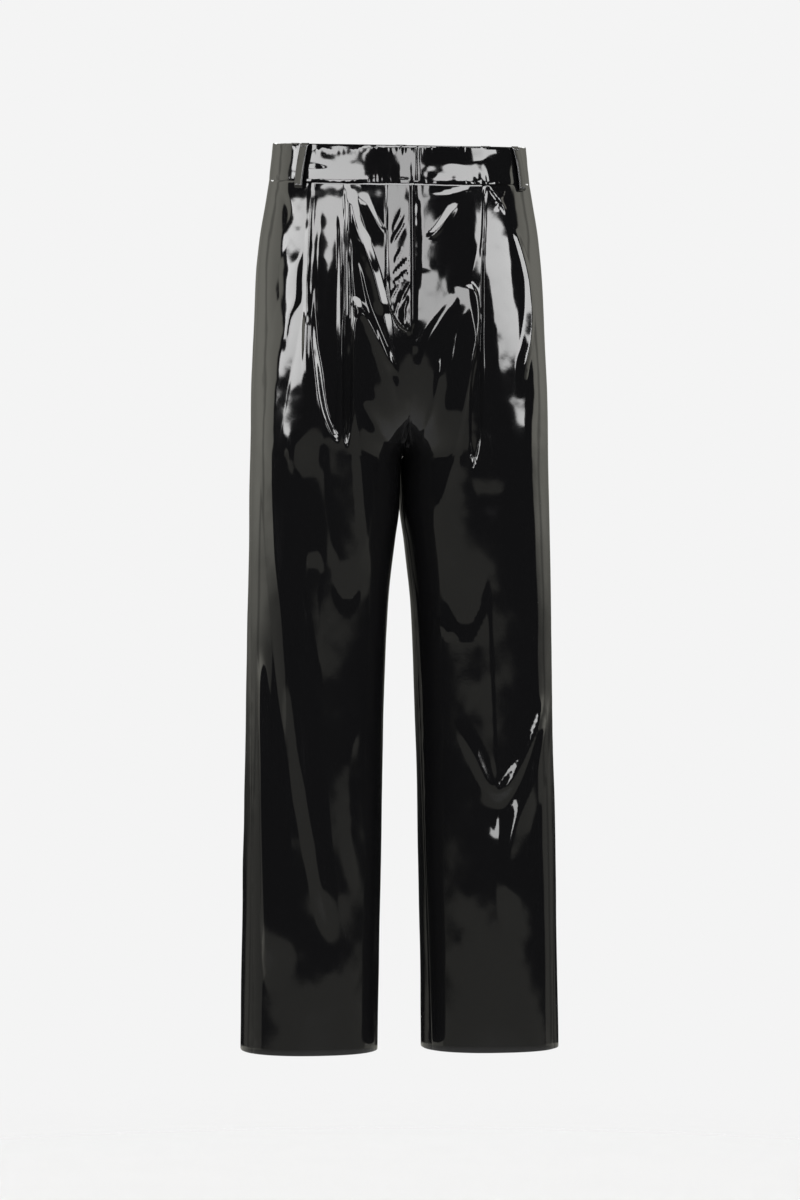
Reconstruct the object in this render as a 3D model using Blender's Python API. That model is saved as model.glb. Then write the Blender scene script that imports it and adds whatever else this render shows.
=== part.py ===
# Vinyl trousers with pleated fronts and straight wide legs, in the shape that they have when worn,
# with nobody in them. X runs to the wearer's left, the front faces -Y and Z points up. The origin is
# the middle of the waist opening, level with its edge at the sides. Sizes are in millimetres, heights
# are drops below the waist edge, and the mesh is made in metres.
import math
from collections import namedtuple

import bmesh
import bpy
import numpy as np

MM = 0.001

# Driving sizes
OUTSEAM = 1051.0              # waist edge to hem, down the side
BAND_HEIGHT = 43.0            # waistband
WAIST_TILT = 0.118            # the waist dips at the front and rises at the back by this slope
TILT_ENDS = 260.0             # drop below which the sections are level
CROTCH_DROP = 367.0           # where the legs part
CURVE_HEIGHT = 147.0          # the centre seams curve under over this height above the crotch
FRONT_CURVE = 4.4             # how far each seam stays out before it turns under
BACK_CURVE = 2.8
CURVE_POWER = 1.6
FLY_DROP = 226.0              # bottom of the fly
BAG_DROP = 305.0              # bottom of the pocket bag
HEM_DEPTH = 36.0              # turned-up hem, where the cloth is double

WALL = 1.2                    # vinyl-coated cloth
HEM_WALL = 2.2
BAND_WALL = 2.4               # band, cut double
SEAM_GAP = 0.3
LAP_GAP = 0.3                 # between layers that lie on each other

SQUARENESS = 2.25             # of each section, 2 being an ellipse
LEAST_CROWN = 0.5
HEM_OUTSEAM_TURN = 30.0       # degrees that the outseam comes forward at the hem
HEM_INSEAM_TURN = 24.0

# One row for each section: half of the outer width, half of the gap between the legs, how far out the
# leg's front is crowned, the depths in front and behind, and where the crease of the front lies.
Section = namedtuple("Section", "drop half_width half_gap crown front back crease")
SECTIONS = (
    Section(0.0, 147.5, 0.0, 0.0, 100.0, 105.0, 80.0),
    Section(43.0, 151.8, 0.0, 4.0, 103.0, 110.0, 80.0),
    Section(64.0, 155.0, 0.0, 9.0, 105.0, 114.0, 80.0),
    Section(111.0, 162.5, 0.0, 20.0, 108.0, 122.0, 79.0),
    Section(157.0, 166.7, 0.0, 33.0, 110.0, 128.0, 79.0),
    Section(204.0, 168.5, 0.0, 48.0, 110.0, 130.0, 80.0),
    Section(297.0, 172.0, 0.0, 74.0, 106.0, 123.0, 83.0),
    Section(367.0, 173.0, 0.1, 86.5, 101.0, 112.0, 88.0),
    Section(418.0, 174.3, 1.2, 88.0, 97.0, 104.0, 90.0),
    Section(461.0, 175.2, 6.6, 91.0, 95.0, 100.0, 93.0),
    Section(530.0, 176.6, 14.4, 95.5, 91.0, 95.0, 96.0),
    Section(600.0, 177.7, 18.0, 98.0, 87.0, 91.0, 98.0),
    Section(670.0, 178.8, 20.4, 99.5, 84.0, 88.0, 99.5),
    Section(810.0, 182.0, 22.7, 102.5, 80.0, 84.0, 102.5),
    Section(950.0, 184.2, 25.7, 105.0, 77.5, 80.0, 105.0),
    Section(1051.0, 185.4, 26.8, 106.0, 76.0, 78.0, 106.0),
)

# Pleats and folds, a row for each: its panel, its line from top to bottom as a distance from the
# middle of the garment and a drop, how far it stands out, how wide it slopes away towards the middle
# and towards the side, and the lengths over which it rises and dies away.
Fold = namedtuple(
    "Fold", "panel top_x top_drop middle_x middle_drop end_x end_drop height inward outward rise fade")
FOLDS = (
    Fold("front_right", 114.0, 34.0, 122.0, 180.0, 129.0, 310.0, 8.0, 9.0, 20.0, 80.0, 170.0),
    Fold("front_right", 78.0, 34.0, 74.0, 180.0, 72.0, 362.0, 8.5, 9.0, 20.0, 80.0, 120.0),
    Fold("front_right", 62.0, 100.0, 43.0, 188.0, 20.0, 272.0, 4.5, 9.0, 16.0, 40.0, 50.0),
    Fold("front_right", 60.0, 200.0, 52.0, 395.0, 62.0, 500.0, 5.0, 9.0, 20.0, 70.0, 40.0),
    Fold("front_right", 152.0, 330.0, 134.0, 430.0, 110.0, 520.0, 4.0, 12.0, 18.0, 60.0, 60.0),
    Fold("front_right", 126.0, 480.0, 118.0, 560.0, 101.0, 650.0, 4.5, 9.0, 12.0, 40.0, 70.0),
    Fold("front_right", 150.0, 520.0, 125.0, 745.0, 99.0, 900.0, 7.0, 12.0, 24.0, 90.0, 130.0),
    Fold("front_right", 60.0, 575.0, 76.0, 725.0, 70.0, 870.0, 4.0, 18.0, 16.0, 60.0, 90.0),
    Fold("front_left", 84.0, 34.0, 78.0, 177.0, 76.0, 372.0, 8.5, 9.0, 20.0, 80.0, 130.0),
    Fold("front_left", 122.0, 60.0, 140.0, 180.0, 127.0, 305.0, 5.0, 16.0, 12.0, 60.0, 60.0),
    Fold("front_left", 66.0, 172.0, 40.0, 250.0, 14.0, 372.0, 5.0, 9.0, 16.0, 40.0, 70.0),
    Fold("front_left", 72.0, 190.0, 66.0, 300.0, 34.0, 440.0, 5.5, 9.0, 16.0, 60.0, 90.0),
    Fold("front_left", 84.0, 470.0, 92.0, 610.0, 100.0, 748.0, 4.0, 14.0, 14.0, 80.0, 40.0),
    Fold("front_left", 74.0, 640.0, 88.0, 695.0, 101.0, 745.0, 4.5, 9.0, 12.0, 50.0, 24.0),
    Fold("front_left", 162.0, 620.0, 134.0, 742.0, 105.0, 850.0, 6.5, 11.0, 20.0, 70.0, 90.0),
    Fold("front_left", 34.0, 540.0, 47.0, 556.0, 64.0, 572.0, 3.5, 9.0, 12.0, 12.0, 12.0),
    Fold("back_right", 34.0, 322.0, 84.0, 378.0, 142.0, 412.0, 4.0, 16.0, 20.0, 30.0, 26.0),
    Fold("back_right", 40.0, 392.0, 70.0, 520.0, 84.0, 690.0, 5.0, 18.0, 18.0, 60.0, 110.0),
    Fold("back_right", 136.0, 590.0, 100.0, 690.0, 58.0, 745.0, 5.5, 12.0, 16.0, 50.0, 30.0),
    Fold("back_right", 104.0, 780.0, 114.0, 890.0, 98.0, 1000.0, 4.5, 18.0, 24.0, 70.0, 90.0),
    Fold("back_left", 38.0, 334.0, 92.0, 392.0, 138.0, 430.0, 3.8, 16.0, 20.0, 30.0, 30.0),
    Fold("back_left", 58.0, 380.0, 86.0, 540.0, 92.0, 720.0, 5.0, 18.0, 18.0, 70.0, 120.0),
    Fold("back_left", 146.0, 640.0, 112.0, 715.0, 66.0, 765.0, 5.5, 12.0, 16.0, 50.0, 30.0),
    Fold("back_left", 88.0, 800.0, 98.0, 905.0, 112.0, 1010.0, 4.5, 18.0, 24.0, 70.0, 90.0),
)
SEAM_EASE = 16.0              # no fold stands out right at a seam

# Belt loops, a row for each: the girth from the centre front to its top and its foot
Loop = namedtuple("Loop", "name side top_girth foot_girth")
LOOPS = (
    Loop("belt_loop_front_right", "right", 126.0, 133.0),
    Loop("belt_loop_front_left", "left", 137.0, 145.0),
    Loop("belt_loop_side_right", "right", 288.0, 288.0),
    Loop("belt_loop_side_left", "left", 288.0, 288.0),
    Loop("belt_loop_back", "left", 393.0, 393.0),
)
LOOP_WIDTH = 13.0
LOOP_WALL = 1.6
LOOP_OVERHANG = 8.0           # below the band's seam
LOOP_BULGE = 2.8              # how far its middle stands off the band
FOOT_LIFT = 1.2               # its foot clears the fullness under the band's seam

# The grid of a panel: shares of the way from one of its long edges to the crease, then to the other
FRONT_INNER = (0.0, 0.16, 0.32, 0.47, 0.6, 0.72, 0.82, 0.91)
FRONT_OUTER = (0.0, 0.08, 0.17, 0.26, 0.35, 0.44, 0.54, 0.65, 0.77, 0.89, 1.0)
BACK_OUTER = (0.0, 0.17, 0.34, 0.51, 0.68, 0.84)
BACK_INNER = (0.0, 0.14, 0.29, 0.45, 0.62, 0.8, 1.0)
HIP_ROWS = 9
CROTCH_ROWS = 9
ROW_CROWDING = 2.2
THIGH_ROWS = 5
LEG_ROWS = 21
THIGH_ENDS = 461.0

# Layers behind the fly and the pocket, as grid columns of the front panel
ZIP_COLUMNS = 2
UNDERLAP_COLUMNS = 3
BAG_COLUMNS = 9
BAND_LAP = 34.0               # the left end of the band runs on behind the right end
BAND_LAP_STEP = 9.0
BAND_COLUMNS = 22

VINYL = ((0.012, 0.012, 0.013, 1.0), 0.08)
POCKETING = ((0.02, 0.02, 0.021, 1.0), 0.85)
ZIP_TAPE = ((0.016, 0.016, 0.017, 1.0), 0.7)

DENSE = 260                   # points along a section before it is divided into columns


def eased(at, values, where):
    """A smooth curve through the values that never overshoots them."""
    at = np.asarray(at, float)
    values = np.asarray(values, float)
    steps = np.diff(at)
    slopes = np.diff(values) / steps
    tangents = np.zeros(len(at))
    for k in range(1, len(at) - 1):
        if slopes[k - 1] * slopes[k] > 0:
            tangents[k] = 2 / (1 / slopes[k - 1] + 1 / slopes[k])
    tangents[0] = slopes[0]
    tangents[-1] = slopes[-1]
    k = int(np.clip(np.searchsorted(at, where) - 1, 0, len(steps) - 1))
    t = float(np.clip((where - at[k]) / steps[k], 0.0, 1.0))
    start = (1 + 2 * t) * (1 - t) ** 2 * values[k] + t * (1 - t) ** 2 * steps[k] * tangents[k]
    end = t * t * (3 - 2 * t) * values[k + 1] + t * t * (t - 1) * steps[k] * tangents[k + 1]
    return start + end


def smooth_step(value):
    value = np.clip(value, 0.0, 1.0)
    return value * value * (3 - 2 * value)


def section_at(drop):
    """The section's sizes at a drop."""
    drops = [row.drop for row in SECTIONS]
    sizes = [eased(drops, [getattr(row, name) for row in SECTIONS], drop) for name in Section._fields[1:]]
    return Section(drop, *sizes)


def half_outline(drop):
    """Half of a section as points from the centre front or the inseam, round the side, to the back."""
    size = section_at(drop)
    power = 2 / SQUARENESS
    if drop < CROTCH_DROP:
        crown = max(size.crown, LEAST_CROWN)
        height = ((CROTCH_DROP - drop) / CURVE_HEIGHT) ** CURVE_POWER
        front_reach = crown * (1 + FRONT_CURVE * height)
        back_reach = crown * (1 + BACK_CURVE * height)
        first = math.acos((crown / front_reach) ** (1 / power))
        last = 2 * math.pi - math.acos((crown / back_reach) ** (1 / power))
    else:
        crown = size.crown
        front_reach = back_reach = crown - size.half_gap
        turn = (drop - CROTCH_DROP) / (OUTSEAM - CROTCH_DROP)
        first = math.radians(HEM_INSEAM_TURN) * turn
        last = 2 * math.pi + first
    angles = np.linspace(first, last, 4 * DENSE)
    cosines = np.cos(angles)
    sines = np.sin(angles)
    ahead = sines >= 0
    inner = cosines > 0
    reach = np.where(inner, np.where(ahead, front_reach, back_reach), size.half_width - crown)
    depth = np.where(ahead, size.front, size.back)
    x = crown - np.sign(cosines) * reach * np.abs(cosines) ** power + SEAM_GAP / 2
    y = -np.sign(sines) * depth * np.abs(sines) ** power
    return x, y, angles, size


def tilt_at(drop):
    return WAIST_TILT * (1 - smooth_step((drop - BAND_HEIGHT) / (TILT_ENDS - BAND_HEIGHT)))


def lengths_along(x, y):
    return np.concatenate(([0.0], np.cumsum(np.hypot(np.diff(x), np.diff(y)))))


def outseam_length(girth, angles, drop):
    """Girth at which the outseam lies on a half section."""
    turn = smooth_step((drop - BAG_DROP) / (OUTSEAM - BAG_DROP))
    return float(np.interp(math.pi - math.radians(HEM_OUTSEAM_TURN) * turn, angles, girth))


def fold_heights(panel, drop, x, angles, girth, seam_distance):
    """How far the folds of a panel stand out along a section."""
    total = np.zeros(len(girth))
    facing = angles <= math.pi if panel.startswith("front") else angles >= math.pi
    order = np.argsort(x[facing])
    for fold in FOLDS:
        if fold.panel != panel or not fold.top_drop <= drop <= fold.end_drop:
            continue
        drops = (fold.top_drop, fold.middle_drop, fold.end_drop)
        places = (fold.top_x, fold.middle_x, fold.end_x)
        line_x = eased(drops, places, drop)
        lean = (eased(drops, places, drop + 1) - eased(drops, places, drop - 1)) / 2
        centre = np.interp(line_x, x[facing][order], girth[facing][order])
        way_out = 1.0 if panel.startswith("front") else -1.0
        across = way_out * (girth - centre) / math.hypot(1.0, lean)
        width = np.where(across > 0, fold.outward, fold.inward)
        strength = smooth_step((fold.end_drop - drop) / fold.fade)
        if fold.rise:
            strength *= smooth_step((drop - fold.top_drop) / fold.rise)
        total += fold.height * strength * np.exp(-(across / width) ** 2)
    return total * smooth_step(seam_distance / SEAM_EASE)


def panel_ring(panel, drop):
    """Points and outward directions of one row of a panel's grid, in plan."""
    x, y, angles, size = half_outline(drop)
    girth = lengths_along(x, y)
    outseam = outseam_length(girth, angles, drop)
    inside = SEAM_GAP / 2 if drop > CROTCH_DROP - 1 else 0.0
    if panel.startswith("front"):
        start, end = inside, outseam - SEAM_GAP / 2
        facing = angles <= math.pi
        shares = (FRONT_INNER, FRONT_OUTER)
    else:
        start, end = outseam + SEAM_GAP / 2, girth[-1] - inside
        facing = angles >= math.pi
        shares = (BACK_OUTER, BACK_INNER)
    order = np.argsort(x[facing])
    crease = float(np.interp(size.crease, x[facing][order], girth[facing][order]))
    places = [start + (crease - start) * share for share in shares[0]]
    places += [crease + (end - crease) * share for share in shares[1]]
    seam_distance = np.minimum(np.abs(girth - start), np.abs(end - girth))
    heights = fold_heights(panel, drop, x, angles, girth, seam_distance)
    out_x, out_y = outward(x, y)
    x = x + heights * out_x
    y = y + heights * out_y
    out_x, out_y = outward(x, y)
    columns = [np.interp(places, girth, values) for values in (x, y, out_x, out_y)]
    return np.stack(columns, axis=1)


def outward(x, y):
    """Directions square to a section, pointing out of it."""
    along_x = np.gradient(x)
    along_y = np.gradient(y)
    length = np.hypot(along_x, along_y)
    return along_y / length, -along_x / length


def row_drops():
    """Drops of the rows of every panel, closer together where the crotch curves under."""
    top = BAND_HEIGHT + SEAM_GAP
    drops = list(np.linspace(top, CROTCH_DROP - CURVE_HEIGHT, HIP_ROWS, endpoint=False))
    for step in range(CROTCH_ROWS, -1, -1):
        drops.append(CROTCH_DROP - CURVE_HEIGHT * (step / CROTCH_ROWS) ** ROW_CROWDING)
    drops += list(np.linspace(CROTCH_DROP, THIGH_ENDS, THIGH_ROWS + 1)[1:])
    drops += list(np.linspace(THIGH_ENDS, OUTSEAM, LEG_ROWS + 1)[1:])
    return drops


def panel_grid(panel, drops):
    """Outer points of a panel, one row for each drop, and the directions out of it."""
    side = -1.0 if panel.endswith("right") else 1.0
    points = []
    directions = []
    for drop in drops:
        ring = panel_ring(panel, drop)
        tilt = tilt_at(drop)
        points.append([(side * x, y, tilt * y - drop) for x, y, _, _ in ring])
        directions.append([(side * out_x, out_y, 0.0) for _, _, out_x, out_y in ring])
    return np.array(points), np.array(directions)


def wall_between(name, outer, inner, material):
    """A closed wall between two grids of points that have the same rows and columns."""
    rows, columns, _ = outer.shape
    shape = bmesh.new()
    layers = [[[shape.verts.new(point * MM) for point in row] for row in grid] for grid in (outer, inner)]
    for layer, grid in enumerate(layers):
        for j in range(rows - 1):
            for i in range(columns - 1):
                near_corner, across = grid[j][i], grid[j][i + 1]
                below, far_corner = grid[j + 1][i], grid[j + 1][i + 1]
                for face in ((near_corner, across, far_corner), (near_corner, far_corner, below)):
                    shape.faces.new(face if layer else face[::-1])
    near, far = layers
    rim = [(0, i) for i in range(columns)] + [(j, columns - 1) for j in range(1, rows)]
    rim += [(rows - 1, i) for i in range(columns - 2, -1, -1)] + [(j, 0) for j in range(rows - 2, 0, -1)]
    for (j, i), (next_j, next_i) in zip(rim, rim[1:] + rim[:1]):
        shape.faces.new([near[j][i], near[next_j][next_i], far[next_j][next_i], far[j][i]])
    bmesh.ops.recalc_face_normals(shape, faces=shape.faces)
    mesh = bpy.data.meshes.new(name)
    shape.to_mesh(mesh)
    shape.free()
    mesh.materials.append(material)
    mesh.shade_smooth()
    mesh.set_sharp_from_angle(angle=math.radians(40))
    piece = bpy.data.objects.new(name, mesh)
    bpy.context.scene.collection.objects.link(piece)
    return piece


def layer(name, points, directions, outside, thickness, material):
    """A wall made from a grid's points, moved in by a distance and given a thickness."""
    depth = np.asarray(thickness, float).reshape(-1, 1, 1)
    outer = points - directions * outside
    return wall_between(name, outer, outer - directions * depth, material)


def make_panels(drops, vinyl):
    """The four leg panels, each with its doubled hem."""
    thickness = [WALL + (HEM_WALL - WALL) * float(drop > OUTSEAM - HEM_DEPTH) for drop in drops]
    grids = {}
    for panel in ("front_right", "front_left", "back_right", "back_left"):
        grids[panel] = panel_grid(panel, drops)
        layer(panel, *grids[panel], 0.0, thickness, vinyl)
    return grids


def across_fly(left, right, rows, columns):
    """Grid values beside the fly, from the first column of the left front to those of the right."""
    middle = (left[rows, :1] + right[rows, :1]) / 2
    return np.concatenate((left[rows, 1:2], middle, right[rows, 1:columns + 1]), axis=1)


def make_fly(grids, drops, vinyl, zip_tape):
    """The closed zip and the underlap behind it, from the points of both fronts beside the seam."""
    right_points, right_out = grids["front_right"]
    left_points, left_out = grids["front_left"]
    rows = [j for j, drop in enumerate(drops) if drop <= FLY_DROP]
    inset = WALL + LAP_GAP
    layers = (("fly_zip", ZIP_COLUMNS, zip_tape), ("fly_underlap", UNDERLAP_COLUMNS, vinyl))
    for name, columns, material in layers:
        points = across_fly(left_points, right_points, rows, columns)
        directions = across_fly(left_out, right_out, rows, columns)
        layer(name, points, directions, inset, [WALL] * len(rows), material)
        inset += WALL + LAP_GAP


def make_pocket_bags(grids, drops, pocketing):
    """The bag of each side pocket, inside the front beside the outseam."""
    rows = [j for j, drop in enumerate(drops) if drop <= BAG_DROP]
    for side in ("right", "left"):
        points, directions = grids["front_" + side]
        points = points[rows, -1 - BAG_COLUMNS:]
        directions = directions[rows, -1 - BAG_COLUMNS:]
        layer("pocket_bag_" + side, points, directions, WALL + LAP_GAP, [WALL] * len(rows), pocketing)


def band_place(side, girth, drop):
    """A point of the waist, at a girth from the centre front, and the direction out of it."""
    x, y, _, _ = half_outline(drop)
    lengths = lengths_along(x, y)
    mirror = side * (1.0 if girth >= 0 else -1.0)
    out_x, out_y = outward(x, y)
    place = [float(np.interp(abs(girth), lengths, values)) for values in (x, y, out_x, out_y)]
    point = np.array((mirror * place[0], place[1], tilt_at(drop) * place[1] - drop))
    return point, np.array((mirror * place[2], place[3], 0.0))


def make_waistband(vinyl):
    """The two halves of the band. The right one laps over the left one at the centre front."""
    drops = (0.0, BAND_HEIGHT / 2, BAND_HEIGHT)
    for name, side in (("waistband_right", -1.0), ("waistband_left", 1.0)):
        outer = []
        inner = []
        for drop in drops:
            x, y, _, _ = half_outline(drop)
            half_girth = lengths_along(x, y)[-1] - SEAM_GAP / 2
            if side < 0:
                girths = np.linspace(-1.2, half_girth, BAND_COLUMNS)
            else:
                girths = np.concatenate((np.linspace(-BAND_LAP, 1.6, 4), np.linspace(
                    BAND_LAP_STEP, half_girth, BAND_COLUMNS)))
            row = [band_place(side, girth, drop) for girth in girths]
            hidden = side * (girths < BAND_LAP_STEP - 1) * (BAND_WALL + LAP_GAP)
            inset = np.maximum(hidden, 0.0)
            outer.append([point - out * depth for (point, out), depth in zip(row, inset)])
            inner.append([point - out * (depth + BAND_WALL) for (point, out), depth in zip(row, inset)])
        wall_between(name, np.array(outer), np.array(inner), vinyl)


def make_belt_loops(vinyl):
    """The loops, from the band's top edge to just below its seam."""
    drops = np.linspace(0.5, BAND_HEIGHT + LOOP_OVERHANG, 9)
    for loop in LOOPS:
        side = -1.0 if loop.side == "right" else 1.0
        outer = []
        inner = []
        for drop in drops:
            share = (drop - drops[0]) / (drops[-1] - drops[0])
            girth = loop.top_girth + (loop.foot_girth - loop.top_girth) * share
            lift = LAP_GAP + LOOP_BULGE * math.sin(math.pi * share) + FOOT_LIFT * share ** 4
            ends = [band_place(side, girth + way * LOOP_WIDTH / 2, drop) for way in (-1, 0, 1)]
            outer.append([point + out * (lift + LOOP_WALL) for point, out in ends])
            inner.append([point + out * lift for point, out in ends])
        wall_between(loop.name, np.array(outer), np.array(inner), vinyl)


def make_material(name, colour, roughness):
    material = bpy.data.materials.new(name)
    material.use_nodes = True
    shader = material.node_tree.nodes["Principled BSDF"]
    shader.inputs["Base Color"].default_value = colour
    shader.inputs["Roughness"].default_value = roughness
    shader.inputs["Metallic"].default_value = 0.0
    return material


def main():
    for thing in list(bpy.data.objects):
        bpy.data.objects.remove(thing, do_unlink=True)
    vinyl = make_material("black_vinyl", *VINYL)
    pocketing = make_material("pocketing", *POCKETING)
    zip_tape = make_material("zip_tape", *ZIP_TAPE)
    drops = row_drops()
    grids = make_panels(drops, vinyl)
    make_fly(grids, drops, vinyl, zip_tape)
    make_pocket_bags(grids, drops, pocketing)
    make_waistband(vinyl)
    make_belt_loops(vinyl)


main()
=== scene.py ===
import math

import bpy
import numpy as np
from mathutils import Matrix, Vector


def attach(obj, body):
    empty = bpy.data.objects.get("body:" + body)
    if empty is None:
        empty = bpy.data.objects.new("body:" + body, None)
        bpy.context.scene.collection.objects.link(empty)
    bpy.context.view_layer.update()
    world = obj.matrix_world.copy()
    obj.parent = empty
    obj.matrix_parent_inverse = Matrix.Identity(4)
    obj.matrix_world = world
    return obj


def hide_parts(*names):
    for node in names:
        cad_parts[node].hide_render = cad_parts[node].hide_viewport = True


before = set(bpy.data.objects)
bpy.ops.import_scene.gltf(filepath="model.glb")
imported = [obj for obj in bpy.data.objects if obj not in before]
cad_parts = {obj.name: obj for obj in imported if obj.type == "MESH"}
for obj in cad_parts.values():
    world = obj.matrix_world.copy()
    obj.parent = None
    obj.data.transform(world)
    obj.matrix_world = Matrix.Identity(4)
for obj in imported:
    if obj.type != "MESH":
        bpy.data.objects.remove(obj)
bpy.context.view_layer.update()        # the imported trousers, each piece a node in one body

mm = 0.001

# All sizes are in mm. Heights are drops below the waist edge, widths are distances from the middle,
# and right and left are the wearer's. The front faces -Y.

figure = {   # the worn shape, a row for each section
    "columns": ("drop", "halfWidth", "halfGap", "crown", "front", "back", "crease"),
    "rows": (
        (0.0, 147.5, 0.0, 0.0, 100.0, 105.0, 80.0),
        (43.0, 151.8, 0.0, 4.0, 103.0, 110.0, 80.0),
        (64.0, 155.0, 0.0, 9.0, 105.0, 114.0, 80.0),
        (111.0, 162.5, 0.0, 20.0, 108.0, 122.0, 79.0),
        (157.0, 166.7, 0.0, 33.0, 110.0, 128.0, 79.0),
        (204.0, 168.5, 0.0, 48.0, 110.0, 130.0, 80.0),
        (297.0, 172.0, 0.0, 74.0, 106.0, 123.0, 83.0),
        (367.0, 173.0, 0.1, 86.5, 101.0, 112.0, 88.0),
        (418.0, 174.3, 1.2, 88.0, 97.0, 104.0, 90.0),
        (461.0, 175.2, 6.6, 91.0, 95.0, 100.0, 93.0),
        (530.0, 176.6, 14.4, 95.5, 91.0, 95.0, 96.0),
        (600.0, 177.7, 18.0, 98.0, 87.0, 91.0, 98.0),
        (670.0, 178.8, 20.4, 99.5, 84.0, 88.0, 99.5),
        (810.0, 182.0, 22.7, 102.5, 80.0, 84.0, 102.5),
        (950.0, 184.2, 25.7, 105.0, 76.8, 80.0, 105.0),
        (1051.0, 185.4, 26.8, 106.0, 73.5, 78.0, 106.0),
    ),
    "squareness": 2.25, "leastCrown": 0.5,
    "outseam": 1051.0, "bandHeight": 43.0, "crotch": 367.0,
    "waistTilt": 0.118, "tiltEnds": 260.0,
    "curveHeight": 147.0, "frontCurve": 4.4, "backCurve": 2.8, "curvePower": 1.6,
    "seamTurnStarts": 305.0, "outseamTurn": 30.0, "inseamTurn": 24.0,
}

cloth = {    # the vinyl-coated cloth
    "thickness": 0.9, "allowance": 7.0, "seamDip": 0.4, "seamRound": 1.3, "seamEase": 12.0, "seamGap": 0.02,
    "centreReach": 1.5,
    "pucker": 0.15, "puckerSize": 9.0, "hemTurn": 36.0, "hemTuck": 4.0, "hemRadius": 1.15,
    "smoothAngle": 60.0,
}

fineness = {   # columns and rows of the cloth's grids
    "innerColumns": 92, "outerColumns": 115, "backColumns": 130, "hipRow": 3.0, "legRow": 6.4, "dense": 800,
}

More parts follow.
